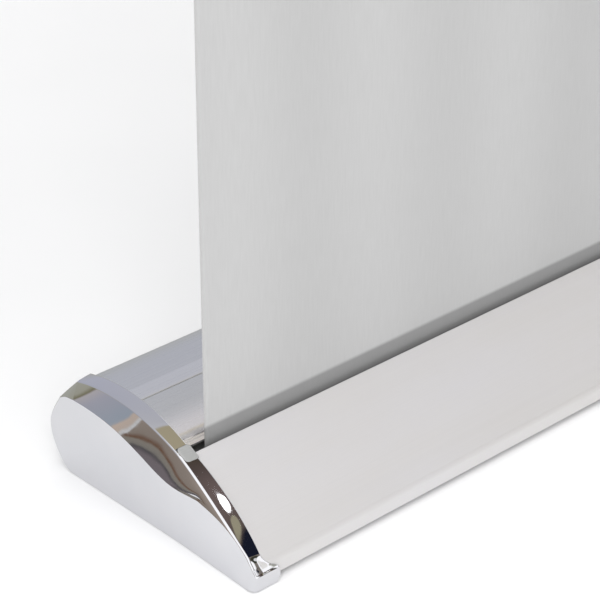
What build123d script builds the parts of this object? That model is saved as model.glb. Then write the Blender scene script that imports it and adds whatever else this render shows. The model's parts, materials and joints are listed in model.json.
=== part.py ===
"""Roll-up banner stand: a floor cassette with a sprung roller, a telescopic pole, a snap rail and a banner.

Frame: +X along the cassette, -Y is the front (the toe side), +Z up. The origin is on the floor,
at the middle of the cassette's footprint. Millimetres.
"""

import os
from math import cos, radians, sin

from build123d import *

os.makedirs("parts", exist_ok=True)

# ---------------------------------------------------------------- driving dimensions
base_length = 918.0  # outer face of one end cap to the other
banner_width = 850.0
banner_thickness = 0.4
banner_y = -23.5  # plane in which the banner stands
rail_bottom = 2062.0  # height of the top rail's lower edge

half_base = base_length / 2

# end caps (side view: y, z)
cap_face_depth = 6.0  # from the flat outer face in to the rim's outer edge
cap_web = 8.0  # solid end wall; the rim laps over the housing from here inwards
cap_rim_depth = 19.5
cap_spigot_depth = 18.0
toe_y = -116.25
toe_height = 12.8
toe_width = 21.0
toe_end = ((19.9, 0.0), (23.3, 5.6), (22.4, 10.0), (toe_width, toe_height))  # depth from the face, height
heel = (94.75, 0.0)
bulge = (116.25, 35.1)
shoulder = (102.3, 62.3)  # where the facet starts on the rear edge

# housing extrusions
wall = 1.6
housing_bottom = 2.6
lip_y = -113.25
slot_rear_y = -21.8
slot_front_y = -28.6
housing_half = half_base - cap_web - 0.2
seam_z = 5.6  # the skins stand on the base plate here
flange_height = 7.0
lip_flange = 9.0  # the front panel's foot, turned in on the base plate
plate_front = lip_y + 5.0  # the base plate stays behind the front lip
strip_width = 15.5
strip_bottom = 82.55
socket_radius = 15.0
socket_flange_radius = 19.0

# roller
roller_z = 36.0
roller_radius = 16.0
roll_radius = 17.2  # with the last turns of leader and banner on it
roller_half = 429.0
plate_inner = 434.0  # inner face of each bearing plate
plate_thickness = 4.0
roller_y = banner_y + banner_thickness / 2 + 0.3 + roll_radius

# pole
pole_y = 39.0
socket_floor = 10.0
tube_wall = 1.2
tube_radii = (12.5, 11.0, 9.5)
pole_spans = ((socket_floor, 750.0), (690.0, 1430.0), (1370.0, 2040.0))
fit_gap = 0.06  # radial running fit

# top rail
rail_height = 38.0
rail_half = 427.0
rail_back_y = -17.5
rail_front_y = -31.0
rail_wall = 1.6
jaw_pivot = (-27.4, rail_bottom + 33.4)
knuckle_radius = 2.2


def finish(part, name):
    """Label a finished piece and write its STEP file."""
    part.label = name
    export_step(part, f"parts/{name}.step")


def side_plane(x):
    """A plane across the cassette at x, with its own x axis along +Y and its own y axis up."""
    return Plane(origin=(x, 0, 0), x_dir=(0, 1, 0), z_dir=(1, 0, 0))


# ---------------------------------------------------------------- outlines
# Points are (y, z, direction of the outward normal in degrees from +Y towards +Z).
rim_crest = (
    (86.5, 80.9, 60),
    (70.0, 84.1, 80),
    (51.0, 84.9, 90),
    (33.0, 84.2, 97),
    (16.0, 81.4, 104),
    (-3.8, 76.9, 110),
    (-16.5, 73.2, 113),
    (-34.0, 65.8, 118),
    (-51.0, 55.8, 121),
    (-69.0, 44.9, 121),
    (-85.0, 34.9, 122),
    (-100.0, 25.4, 124),
)
housing_crest = (
    (86.4, 79.7, 60),
    (70.0, 82.9, 80),
    (51.0, 83.7, 90),
    (33.0, 83.0, 97),
    (16.0, 80.2, 104),
    (-3.8, 75.7, 110),
    (-16.5, 72.0, 113),
    (-28.6, 66.8, 117),
    (-51.0, 54.6, 121),
    (-69.0, 43.7, 121),
    (-85.0, 33.7, 122),
    (-100.0, 24.2, 124),
    (-109.5, 17.9, 125),
)


def moved_in(point, inset):
    """The outline point moved inwards along its normal."""
    y, z, angle = point
    return (y - inset * cos(radians(angle)), z - inset * sin(radians(angle)))


def rim_outline(drop=0.0):
    """Closed side outline of an end cap at its rim; drop lowers the crest for the bevel."""
    top = [moved_in(point, drop) for point in rim_crest]
    toe_top = (toe_y, toe_height - drop)
    with BuildLine() as outline:
        Line((toe_y + 1.5, 0), heel)
        ThreePointArc(heel, (109.6, 13.8), bulge)
        ThreePointArc(bulge, (111.2, 49.1), shoulder)
        ThreePointArc(shoulder, moved_in((95.1, 71.5, 38), drop / 2), top[0])
        Spline(*top)
        ThreePointArc(top[-1], (-108.3, 19.2 - drop), toe_top)
        Line(toe_top, (toe_y, 1.5))
        Line((toe_y, 1.5), (toe_y + 1.5, 0))
    return outline.line


def face_outline():
    """Closed side outline of an end cap's flat outer face, which stays below the sloping facet."""
    facet_start = (99.3, 63.9)
    sweep_end = (-101.0, 24.0)
    toe_top = (toe_y, toe_height - 1.3)
    with BuildLine() as outline:
        Line((toe_y + 1.5, 0), heel)
        ThreePointArc(heel, (109.6, 13.8), bulge)
        ThreePointArc(bulge, (111.2, 49.1), shoulder)
        Line(shoulder, facet_start)
        Spline(
            facet_start,
            (80.0, 68.4),
            (62.0, 69.0),
            (31.0, 65.0),
            (1.6, 52.0),
            (-20.0, 44.6),
            (-46.0, 42.3),
            (-71.0, 39.5),
            (-85.0, 33.5),
            sweep_end,
        )
        ThreePointArc(sweep_end, (-108.0, 16.2), toe_top)
        Line(toe_top, (toe_y, 1.5))
        Line((toe_y, 1.5), (toe_y + 1.5, 0))
    return outline.line


def housing_outline(inset):
    """Closed side outline of the cassette extrusions, moved inwards by inset from their outer skin."""
    top = [moved_in(point, inset) for point in housing_crest]
    bottom = housing_bottom + inset
    back = inset + 1.2  # the skin lies this far inside the caps' rounded back
    lip_start = moved_in((lip_y, 13.2, 180), inset)
    lip_mid = moved_in((lip_y + 1.1, 16.2, 152), inset)
    with BuildLine() as outline:
        Line((lip_start[0], bottom), (heel[0] - 1.2 * back, bottom))
        ThreePointArc(
            (heel[0] - 1.2 * back, bottom),
            moved_in((109.6, 13.8, -40), back),
            moved_in((*bulge, 0), back),
        )
        ThreePointArc(
            moved_in((*bulge, 0), back),
            moved_in((111.2, 49.1, 28), back),
            moved_in((*shoulder, 37), back),
        )
        ThreePointArc(moved_in((*shoulder, 37), back), moved_in((95.1, 71.5, 38), back), top[0])
        Spline(*top)
        ThreePointArc(top[-1], lip_mid, lip_start)
        Line(lip_start, (lip_start[0], bottom))
    return outline.line


# ---------------------------------------------------------------- cassette extrusions
def housing_skin(y_low, y_high):
    """Sketch of one skin of the cassette: a stretch of the wall between two outlines."""
    with BuildSketch(side_plane(-housing_half)) as skin:
        make_face(housing_outline(0.0))
        make_face(housing_outline(wall), mode=Mode.SUBTRACT)
        with BuildLine():
            Polyline((y_low, seam_z), (y_high, seam_z), (y_high, 100), (y_low, 100), close=True)
        make_face(mode=Mode.INTERSECT)
    return skin.sketch


# the rear skin's rolled edge: it turns down to a step and ends in a grooved ledge at the slot
roll_start = (-11.0, 73.8)  # on the crest
roll_mid = (-14.9, 72.2)
step_top = (-16.5, 71.0)
step_foot = (-16.5, 69.9)
ledge_end = (slot_rear_y, 68.1)
ledge_groove = (-18.8, 69.25)
groove_radius = 0.35


def rear_lip():
    """Sketch of the rolled edge; its underside follows at about the wall's thickness."""
    with BuildSketch(side_plane(-housing_half)) as lip:
        with BuildLine():
            ThreePointArc(roll_start, roll_mid, step_top)
            Line(step_top, step_foot)
            Line(step_foot, ledge_end)
            Line(ledge_end, (ledge_end[0], ledge_end[1] - wall))
            Polyline(
                (ledge_end[0], ledge_end[1] - wall),
                (step_foot[0] + wall, step_foot[1] - 1.3),
                (step_foot[0] + wall, 70.6),
                (roll_start[0], roll_start[1] - wall),
                roll_start,
            )
        make_face()
        with Locations(ledge_groove):
            Circle(groove_radius, mode=Mode.SUBTRACT)
    return lip.sketch


with BuildPart() as rear_housing:
    extrude(housing_skin(roll_start[0], 130.0), 2 * housing_half, (1, 0, 0))
    extrude(rear_lip(), 2 * housing_half, (1, 0, 0))
    with Locations((0, pole_y, strip_bottom + 3)):
        Box(2 * housing_half, strip_width + 0.4, 6, mode=Mode.SUBTRACT)
    with Locations((0, pole_y, 80)):
        Cylinder(socket_radius + 0.3, 30, mode=Mode.SUBTRACT)
finish(rear_housing.part, "rear_housing")

slot_flange = (slot_front_y - wall / 2, 62.3)  # turned down inside the slot's front edge
with BuildPart() as front_panel:
    extrude(housing_skin(-130.0, slot_front_y), 2 * housing_half, (1, 0, 0))
    with BuildSketch(side_plane(-housing_half)):
        with Locations(slot_flange):
            Rectangle(wall, flange_height)
        with Locations((lip_y + lip_flange / 2, seam_z + wall / 2)):
            Rectangle(lip_flange, wall)
    extrude(amount=2 * housing_half)
    slot_edges = front_panel.edges().filter_by(Axis.X).filter_by_position(Axis.Z, 66.0, 67.5)
    fillet(slot_edges.sort_by(Axis.Y)[-1], 0.7)
finish(front_panel.part, "front_panel")

with BuildPart() as base_plate:
    with BuildSketch(side_plane(-housing_half)):
        make_face(housing_outline(0.0))
        with BuildLine():
            Polyline((plate_front, 0), (130, 0), (130, seam_z - 0.1), (plate_front, seam_z - 0.1), close=True)
        make_face(mode=Mode.INTERSECT)
    extrude(amount=2 * housing_half)
finish(base_plate.part, "base_plate")

# cover strips in the channel along the hump's crown, one each side of the pole's socket
for side, word in ((-1, "left"), (1, "right")):
    with BuildPart() as crown_strip:
        with BuildSketch(side_plane(side * (socket_flange_radius + 0.5))):
            with Locations((pole_y, strip_bottom + 0.45)):
                RectangleRounded(strip_width, 0.8, 0.35)
        extrude(amount=side * (half_base - cap_rim_depth - socket_flange_radius - 1.0))
    finish(crown_strip.part, f"crown_strip_{word}")

# ---------------------------------------------------------------- end caps
pad_y = -29.1
pad_z = 68.1
pad_slope = 28.0
pad_width = 12.0
pad_length = 13.8
pad_corner = 3.0
pad_sunk = 0.45
pad_proud = 0.5


def pad_plane(side):
    """Plane of the slot pad: on the rim where the banner slot ends, leaning with the rim."""
    x = side * (half_base - 13.4)
    return Plane(
        origin=(x, pad_y, pad_z),
        x_dir=(1, 0, 0),
        z_dir=(0, -sin(radians(pad_slope)), cos(radians(pad_slope))),
    )


slot_relief = (-22.2, 63.0)  # end pieces are cut away round this point, below the slot
post_centres = ((85.0, 40.0), (56.0, 14.0), (-72.0, 14.0))
post_radius = 4.5
screw_radius = 2.0


def end_cap(side):
    """One chromed end cap: face, facet, bevelled rim, toe block, spigot and three screw posts."""
    outer = side * half_base
    inward = -side
    with BuildPart() as cap:
        with BuildSketch(side_plane(outer)):
            make_face(face_outline())
        with BuildSketch(side_plane(outer + inward * (cap_face_depth - 1.0))):
            make_face(rim_outline(drop=1.0))
        loft(ruled=True)
        with BuildSketch(side_plane(outer + inward * (cap_face_depth - 1.0))):
            make_face(rim_outline(drop=1.0))
        with BuildSketch(side_plane(outer + inward * cap_face_depth)):
            make_face(rim_outline())
        loft(ruled=True)
        with BuildSketch(side_plane(outer + inward * cap_face_depth)):
            make_face(rim_outline())
        extrude(amount=inward * (cap_web - cap_face_depth))
        # rim that laps over the housing
        with BuildSketch(side_plane(outer + inward * cap_web)):
            make_face(rim_outline())
            with BuildLine():
                Line((130, 6), (-130, 6))
                Polyline((-130, 6), (-130, -10), (130, -10), (130, 6))
            make_face(mode=Mode.SUBTRACT)
            make_face(housing_outline(-0.15), mode=Mode.SUBTRACT)
        extrude(amount=inward * (cap_rim_depth - cap_web))
        # toe block, as wide as the rim's foot
        with BuildSketch(Plane(origin=(outer, toe_y, 0), x_dir=(inward, 0, 0), z_dir=(0, -inward, 0))):
            with BuildLine():
                Polyline((0, 0), *toe_end, (0, toe_height), close=True)
            make_face()
        extrude(amount=-inward * (lip_y - 0.2 - toe_y))
        # spigot inside the housing
        with BuildSketch(side_plane(outer + inward * cap_web)):
            make_face(housing_outline(5.2))
            make_face(housing_outline(7.2), mode=Mode.SUBTRACT)
            with Locations(slot_relief):
                Rectangle(24, 24, mode=Mode.SUBTRACT)
        extrude(amount=inward * (cap_spigot_depth - cap_web))
        # the web is hollowed from inside
        with BuildSketch(side_plane(outer + inward * cap_web)):
            make_face(housing_outline(7.2))
        extrude(amount=-inward * (cap_web - 3.5), mode=Mode.SUBTRACT)
        # screw posts reach the bearing plate
        post_end = half_base - plate_inner - plate_thickness
        with BuildSketch(side_plane(outer + inward * 3.0)):
            with Locations(*post_centres):
                Circle(post_radius)
        extrude(amount=inward * (post_end - 3.0))
        with BuildSketch(side_plane(outer + inward * post_end)):
            with Locations(*post_centres):
                Circle(screw_radius + 0.05)
        extrude(amount=-inward * 12.0, mode=Mode.SUBTRACT)
        # the toe narrows the rim's inner edge
        with BuildSketch(Plane.XY.offset(8.0)):
            with BuildLine():
                Spline(
                    (outer + inward * 20.0, 10.0),
                    (outer + inward * 18.3, -20.0),
                    (outer + inward * 18.1, -51.0),
                    (outer + inward * 16.6, -69.0),
                    (outer + inward * 14.6, -85.0),
                    (outer + inward * 13.4, -98.0),
                    (outer + inward * 12.7, -107.5),
                    (outer + inward * 15.0, -112.0),
                    (outer + inward * 21.5, -113.3),
                )
                Polyline(
                    (outer + inward * 21.5, -113.3),
                    (outer + inward * 24.0, -113.3),
                    (outer + inward * 24.0, 10.0),
                    (outer + inward * 20.0, 10.0),
                )
            make_face()
        extrude(amount=80.0, mode=Mode.SUBTRACT)
        # seat of the slot pad
        with BuildSketch(pad_plane(side)):
            RectangleRounded(pad_width + 0.3, pad_length + 0.3, pad_corner + 0.15)
        extrude(amount=pad_sunk + 0.05, both=True, mode=Mode.SUBTRACT)
    return cap.part


for side, word in ((-1, "left"), (1, "right")):
    finish(end_cap(side), f"end_cap_{word}")
    with BuildPart() as slot_pad:
        with BuildSketch(pad_plane(side).offset(-pad_sunk)):
            RectangleRounded(pad_width, pad_length, pad_corner)
        extrude(amount=pad_sunk + pad_proud)
    finish(slot_pad.part, f"slot_pad_{word}")


# ---------------------------------------------------------------- bearing plates, screws and feet
def bearing_plate(side):
    """Plate that closes the housing's end and carries one end of the roller."""
    inner = side * plate_inner
    with BuildPart() as plate:
        with BuildSketch(side_plane(inner)):
            make_face(housing_outline(wall + 0.3))
            with Locations(slot_relief):
                Rectangle(24, 20, mode=Mode.SUBTRACT)
            with Locations((0, seam_z / 2)):
                Rectangle(260, seam_z, mode=Mode.SUBTRACT)
            with Locations((lip_y + lip_flange / 2, seam_z + wall / 2)):
                Rectangle(lip_flange + 0.6, wall + 0.6, mode=Mode.SUBTRACT)
        extrude(amount=side * plate_thickness)
        with BuildSketch(side_plane(inner)):
            with Locations(*post_centres):
                Circle(screw_radius + 0.2)
        extrude(amount=side * plate_thickness, mode=Mode.SUBTRACT)
        with BuildSketch(side_plane(inner)):
            with Locations((roller_y, roller_z)):
                RegularPolygon(radius=shaft_radius + 0.03, side_count=6)
        extrude(amount=side * plate_thickness, mode=Mode.SUBTRACT)
    return plate.part


shaft_radius = 4.0
for side, word in ((-1, "left"), (1, "right")):
    finish(bearing_plate(side), f"bearing_plate_{word}")

head_radius = 3.8
head_height = 2.4
with BuildPart() as cap_screws:
    for side in (-1, 1):
        with BuildSketch(side_plane(side * plate_inner)):
            with Locations(*post_centres):
                Circle(head_radius)
        extrude(amount=-side * head_height)
        with BuildSketch(side_plane(side * plate_inner)):
            with Locations(*post_centres):
                Circle(screw_radius)
        extrude(amount=side * (plate_thickness + 10.0))
        with BuildSketch(side_plane(side * (plate_inner - head_height))):
            with Locations(*post_centres):
                Rectangle(4.5, 0.9)
                Rectangle(0.9, 4.5)
        extrude(amount=side * 1.4, mode=Mode.SUBTRACT)
finish(cap_screws.part, "cap_screws")

foot_radius = 10.0
with BuildPart() as rubber_feet:
    with Locations((0, -6, housing_bottom / 2)):
        with GridLocations(760, 150, 2, 2):
            Cylinder(foot_radius, housing_bottom)
    chamfer(rubber_feet.edges().group_by(Axis.Z)[0], 0.5)
finish(rubber_feet.part, "rubber_feet")

# ---------------------------------------------------------------- roller
tube_inner = roller_radius - 1.2
plug_depth = 22.0
spring_shaft_end = 150.0  # the torsion spring sits between here and the right-hand plug
spring_radius = 7.6
spring_wire = 0.9


def on_roller(x):
    """A plane across the roller at x, centred on its axis."""
    return Plane(origin=(x, roller_y, roller_z), x_dir=(0, 1, 0), z_dir=(1, 0, 0))


with BuildPart() as roller_tube:
    with BuildSketch(on_roller(-roller_half)):
        Circle(roller_radius)
        Circle(tube_inner, mode=Mode.SUBTRACT)
    extrude(amount=2 * roller_half)
finish(roller_tube.part, "roller_tube")

with BuildPart() as winding:
    with BuildSketch(on_roller(-banner_width / 2)):
        Circle(roll_radius)
        Circle(roller_radius, mode=Mode.SUBTRACT)
    extrude(amount=banner_width)
finish(winding.part, "banner_winding")

for side, word in ((-1, "idle"), (1, "spring")):
    with BuildPart() as plug:
        with BuildSketch(on_roller(side * roller_half)):
            Circle(tube_inner)
            Circle(shaft_radius + fit_gap, mode=Mode.SUBTRACT)
        extrude(amount=-side * plug_depth)
        with BuildSketch(on_roller(side * roller_half)):
            Circle(roller_radius)
            Circle(shaft_radius + fit_gap, mode=Mode.SUBTRACT)
        extrude(amount=side * 2.0)
    finish(plug.part, f"roller_plug_{word}")

with BuildPart() as idle_axle:
    with BuildSketch(on_roller(-plate_inner + 0.5)):
        Circle(shaft_radius)
    extrude(amount=plate_inner - roller_half + plug_depth - 2.0)
    with BuildSketch(on_roller(-plate_inner)):
        RegularPolygon(radius=shaft_radius, side_count=6)
    extrude(amount=0.5)
    with BuildSketch(on_roller(-plate_inner)):
        RegularPolygon(radius=shaft_radius, side_count=6)
    extrude(amount=-plate_thickness)
finish(idle_axle.part, "idle_axle")

with BuildPart() as spring_shaft:
    with BuildSketch(on_roller(spring_shaft_end)):
        Circle(shaft_radius)
    extrude(amount=plate_inner - 0.5 - spring_shaft_end)
    with BuildSketch(on_roller(plate_inner - 0.5)):
        RegularPolygon(radius=shaft_radius, side_count=6)
    extrude(amount=plate_thickness + 0.5)
finish(spring_shaft.part, "spring_shaft")

with BuildPart() as spring_anchor:
    with BuildSketch(on_roller(spring_shaft_end)):
        Circle(tube_inner)
        Circle(shaft_radius + fit_gap, mode=Mode.SUBTRACT)
    extrude(amount=14.0)
finish(spring_anchor.part, "spring_anchor")

spring_start = spring_shaft_end + 16.0
spring_length = roller_half - plug_depth - 2.0 - spring_start
spring_turns = 26
with BuildPart() as torsion_spring:
    with BuildLine() as coil:
        Helix(
            pitch=spring_length / spring_turns,
            height=spring_length,
            radius=spring_radius,
            center=(spring_start, roller_y, roller_z),
            direction=(1, 0, 0),
        )
    with BuildSketch(coil.line ^ 0):
        Circle(spring_wire)
    sweep()
finish(torsion_spring.part, "torsion_spring")

# ---------------------------------------------------------------- banner
with BuildPart() as banner:
    banner_low = roller_z - 6.0
    banner_high = rail_bottom + 5.0
    with Locations((0, banner_y, (banner_low + banner_high) / 2)):
        Box(banner_width, banner_thickness, banner_high - banner_low)
finish(banner.part, "banner")


# ---------------------------------------------------------------- pole
def upright(z):
    """A level plane at height z on the pole's axis."""
    return Plane(origin=(0, pole_y, z))


with BuildPart() as pole_socket:
    with BuildSketch(upright(seam_z)):
        Circle(socket_radius)
    extrude(amount=84.6 - seam_z)
    with BuildSketch(upright(84.6)):
        Circle(socket_flange_radius)
    extrude(amount=2.0)
    fillet(pole_socket.edges().group_by(Axis.Z)[-1], 0.8)
    with BuildSketch(upright(socket_floor)):
        Circle(tube_radii[0] + fit_gap)
    extrude(amount=90.0, mode=Mode.SUBTRACT)
finish(pole_socket.part, "pole_socket")

section_names = ("pole_lower", "pole_middle", "pole_upper")
for name, radius, (low, high) in zip(section_names, tube_radii, pole_spans):
    with BuildPart() as section:
        with BuildSketch(upright(low)):
            Circle(radius)
            Circle(radius - tube_wall, mode=Mode.SUBTRACT)
        extrude(amount=high - low)
    finish(section.part, name)

with BuildPart() as pole_foot:
    with BuildSketch(upright(socket_floor)):
        Circle(tube_radii[0] - tube_wall)
    extrude(amount=18.0)
finish(pole_foot.part, "pole_foot")

collar_grip = 15.0  # length gripping the tube below, its own section's top end
collar_names = ("lower_collar", "upper_collar")
collar_radii = (17.0, 15.5)
for index, name in enumerate(collar_names):
    top = pole_spans[index][1]
    with BuildPart() as collar:
        with BuildSketch(upright(top - collar_grip)):
            Circle(collar_radii[index])
            Circle(tube_radii[index] + fit_gap, mode=Mode.SUBTRACT)
        extrude(amount=collar_grip)
        with BuildSketch(upright(top)):
            Circle(collar_radii[index])
            Circle(tube_radii[index + 1] + 0.3, mode=Mode.SUBTRACT)
        extrude(amount=20.0)
        with BuildSketch(upright(top - collar_grip + 4.0)):
            with PolarLocations(collar_radii[index], 12):
                Circle(1.1)
        extrude(amount=24.0, mode=Mode.SUBTRACT)
    finish(collar.part, name)

arm_bottom = pole_spans[2][1]
arm_height = 10.0
tongue_y = -8.0
tongue_height = 12.0
with BuildPart() as pole_head:
    with BuildSketch(upright(arm_bottom - 20.0)):
        Circle(tube_radii[2] - tube_wall)
    extrude(amount=20.0)
    with BuildSketch(Plane.XY.offset(arm_bottom)):
        with Locations((0, pole_y)):
            Circle(11.0)
        with Locations((0, (pole_y + tongue_y) / 2)):
            Rectangle(14.0, pole_y - tongue_y + 4.0)
    extrude(amount=arm_height)
    with BuildSketch(Plane.XY.offset(arm_bottom + arm_height)):
        with Locations((0, tongue_y)):
            Rectangle(14.0, 4.0)
    extrude(amount=tongue_height)
finish(pole_head.part, "pole_head")

# ---------------------------------------------------------------- top rail
rail_top = rail_bottom + rail_height
clip_radius = knuckle_radius + fit_gap
with BuildPart() as rail_back:
    with BuildSketch(side_plane(-rail_half)):
        with Locations((rail_back_y - rail_wall / 2, rail_bottom + rail_height / 2)):
            Rectangle(rail_wall, rail_height)
        with Locations(((rail_back_y + rail_front_y) / 2, rail_top - rail_wall / 2)):
            Rectangle(rail_back_y - rail_front_y, rail_wall)
        with Locations(((rail_back_y + banner_y + 0.3) / 2, rail_bottom + 3.0)):
            Rectangle(rail_back_y - banner_y - 0.3, 6.0)
        with Locations(jaw_pivot):
            Circle(clip_radius + 1.3)
            Circle(clip_radius, mode=Mode.SUBTRACT)
        with BuildLine():
            Polyline(
                jaw_pivot,
                (jaw_pivot[0] + 6.0, jaw_pivot[1] - 9.0),
                (jaw_pivot[0] - 12.0, jaw_pivot[1] - 9.0),
                (jaw_pivot[0] - 12.0, jaw_pivot[1] + 0.5),
                close=True,
            )
        make_face(mode=Mode.SUBTRACT)
    extrude(amount=2 * rail_half)
finish(rail_back.part, "rail_back")

with BuildPart() as rail_jaw:
    with BuildSketch(side_plane(-rail_half + 1.0)):
        with Locations(jaw_pivot):
            Circle(knuckle_radius)
        with BuildLine():
            Polyline(
                (jaw_pivot[0] - 1.2, jaw_pivot[1]),
                (jaw_pivot[0] + 1.2, jaw_pivot[1]),
                (jaw_pivot[0] + 0.4, jaw_pivot[1] - 6.5),
                (rail_front_y + 1.4, rail_bottom + 22.0),
                (rail_front_y + 1.4, rail_bottom + 5.0),
                (banner_y - 0.3, rail_bottom + 5.0),
                (banner_y - 0.3, rail_bottom),
                (rail_front_y, rail_bottom),
                (rail_front_y, rail_bottom + 23.0),
                (jaw_pivot[0] - 1.2, jaw_pivot[1] - 5.5),
                close=True,
            )
        make_face()
    extrude(amount=2 * rail_half - 2.0)
finish(rail_jaw.part, "rail_jaw")

for side, word in ((-1, "left"), (1, "right")):
    with BuildPart() as rail_cap:
        with BuildSketch(side_plane(side * rail_half)):
            with Locations(((rail_back_y + rail_front_y) / 2, rail_bottom + rail_height / 2)):
                RectangleRounded(rail_back_y - rail_front_y + 1.0, rail_height + 1.0, 3.0)
        extrude(amount=side * 3.0)
        fillet(rail_cap.faces().sort_by(Axis.X)[-1 if side > 0 else 0].edges(), 1.2)
    finish(rail_cap.part, f"rail_cap_{word}")

hook_bottom = arm_bottom + arm_height
hook_front = rail_back_y
with BuildPart() as rail_hook:
    with BuildSketch(Plane.XY.offset(hook_bottom)):
        with Locations((0, (hook_front - 3.0) / 2)):
            Rectangle(30.0, -3.0 - hook_front)
    extrude(amount=26.0)
    with BuildSketch(Plane.XY.offset(hook_bottom)):
        with Locations((0, tongue_y)):
            Rectangle(14.4, 4.4)
    extrude(amount=tongue_height + 0.4, mode=Mode.SUBTRACT)
finish(rail_hook.part, "rail_hook")
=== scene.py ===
"""Roll-up banner stand: the visual model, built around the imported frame. Metres, +Z up, -Y is the front."""
import json
from math import cos, pi, radians, sin

import bmesh
import bpy
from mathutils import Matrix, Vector


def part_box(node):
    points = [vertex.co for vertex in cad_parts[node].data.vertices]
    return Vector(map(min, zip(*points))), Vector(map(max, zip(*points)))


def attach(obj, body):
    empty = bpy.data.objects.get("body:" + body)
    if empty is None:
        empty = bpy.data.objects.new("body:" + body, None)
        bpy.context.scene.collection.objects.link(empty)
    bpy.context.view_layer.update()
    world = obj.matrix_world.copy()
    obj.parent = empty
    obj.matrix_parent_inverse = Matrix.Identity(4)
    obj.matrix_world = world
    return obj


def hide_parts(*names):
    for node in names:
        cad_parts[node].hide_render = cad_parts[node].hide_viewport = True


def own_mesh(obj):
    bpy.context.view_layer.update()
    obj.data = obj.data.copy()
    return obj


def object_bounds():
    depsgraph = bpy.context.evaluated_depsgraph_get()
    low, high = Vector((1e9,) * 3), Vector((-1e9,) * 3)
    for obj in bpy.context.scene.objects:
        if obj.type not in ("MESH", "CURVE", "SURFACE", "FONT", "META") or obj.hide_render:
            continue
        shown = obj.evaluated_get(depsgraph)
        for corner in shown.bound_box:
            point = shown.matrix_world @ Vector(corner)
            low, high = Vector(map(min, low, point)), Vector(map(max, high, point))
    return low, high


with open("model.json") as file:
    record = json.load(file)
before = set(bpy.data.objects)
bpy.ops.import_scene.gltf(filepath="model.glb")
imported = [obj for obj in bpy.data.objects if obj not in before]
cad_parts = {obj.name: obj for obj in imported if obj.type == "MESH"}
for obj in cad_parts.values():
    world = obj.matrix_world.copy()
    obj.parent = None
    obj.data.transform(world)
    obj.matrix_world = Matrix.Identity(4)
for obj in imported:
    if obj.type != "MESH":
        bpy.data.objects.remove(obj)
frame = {"nodes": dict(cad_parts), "record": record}
cad_low, cad_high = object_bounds()

MM = 0.001
scene = bpy.context.scene
scene.view_settings.view_transform = "Standard"

# ------------------------------------------------------------------ camera
VIEW_AZIMUTH = radians(42.8)  # turned from straight ahead towards +X
VIEW_DROP = radians(28.5)
VIEW_DIRECTION = Vector((
    sin(VIEW_AZIMUTH) * cos(VIEW_DROP),
    cos(VIEW_AZIMUTH) * cos(VIEW_DROP),
    -sin(VIEW_DROP),
))
camera_data = bpy.data.cameras.new("camera")
camera_data.sensor_width = 36.0
camera_data.lens = 134.3
camera = bpy.data.objects.new("camera", camera_data)
camera.location = (-1.2982, -1.06685, 0.920)
camera.rotation_euler = VIEW_DIRECTION.to_track_quat("-Z", "Y").to_euler()
scene.collection.objects.link(camera)
scene.camera = camera


# ------------------------------------------------------------------ node helpers
class Nodes:
    """A node tree being built: make() adds a node, sets its inputs and returns it."""

    def __init__(self, tree):
        self.tree = tree
        tree.nodes.clear()

    def make(self, kind, inputs=None, **settings):
        node = self.tree.nodes.new(kind)
        for name, value in settings.items():
            setattr(node, name, value)
        for key, value in (inputs or {}).items():
            if isinstance(value, bpy.types.NodeSocket):
                self.tree.links.new(value, node.inputs[key])
            else:
                node.inputs[key].default_value = value
        return node

    def math(self, operation, first, second=0.0):
        return self.make("ShaderNodeMath", {0: first, 1: second}, operation=operation).outputs[0]

    def remap(self, value, low, high, to_low=0.0, to_high=1.0, smooth=False):
        kind = "SMOOTHSTEP" if smooth else "LINEAR"
        inputs = {"Value": value, "From Min": low, "From Max": high, "To Min": to_low, "To Max": to_high}
        return self.make("ShaderNodeMapRange", inputs, interpolation_type=kind).outputs["Result"]

    def mix(self, factor, first, second, blend="MIX"):
        node = self.make("ShaderNodeMix", data_type="RGBA", blend_type=blend)
        for index, value in ((0, factor), (6, first), (7, second)):
            if isinstance(value, bpy.types.NodeSocket):
                self.tree.links.new(value, node.inputs[index])
            else:
                node.inputs[index].default_value = value if index == 0 else rgba(value)
        return node.outputs[2]

    def ramp(self, value, stops):
        node = self.make("ShaderNodeValToRGB", {"Fac": value})
        elements = node.color_ramp.elements
        while len(elements) < len(stops):
            elements.new(0.5)
        for element, (position, colour) in zip(elements, stops):
            element.position = position
            element.color = rgba(colour)
        return node.outputs["Color"]

    def noise(self, vector, scale, detail=2.0, roughness=0.5):
        inputs = {"Vector": vector, "Scale": scale, "Detail": detail, "Roughness": roughness}
        return self.make("ShaderNodeTexNoise", inputs).outputs["Fac"]

    def stretched(self, vector, scale):
        return self.make("ShaderNodeMapping", {"Vector": vector, "Scale": scale}).outputs["Vector"]

    def bump(self, height, strength, distance):
        inputs = {"Height": height, "Strength": strength, "Distance": distance}
        return self.make("ShaderNodeBump", inputs).outputs["Normal"]


def rgba(colour):
    if len(colour) == 4:
        return colour
    return (*colour, 1.0)


def shaded(name, metallic=0.0, **principled):
    """A new material: its node helper, the Object coordinates and its Principled shader."""
    material = bpy.data.materials.new(name)
    material.use_nodes = True
    nodes = Nodes(material.node_tree)
    shader = nodes.make("ShaderNodeBsdfPrincipled", {"Metallic": metallic, **principled})
    output = nodes.make("ShaderNodeOutputMaterial", {"Surface": shader.outputs[0]})
    output.location = (300, 0)
    place = nodes.make("ShaderNodeTexCoord").outputs["Object"]
    return material, nodes, place, shader


def feed(nodes, shader, **sockets):
    for name, socket in sockets.items():
        nodes.tree.links.new(socket, shader.inputs[name.replace("_", " ")])


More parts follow.
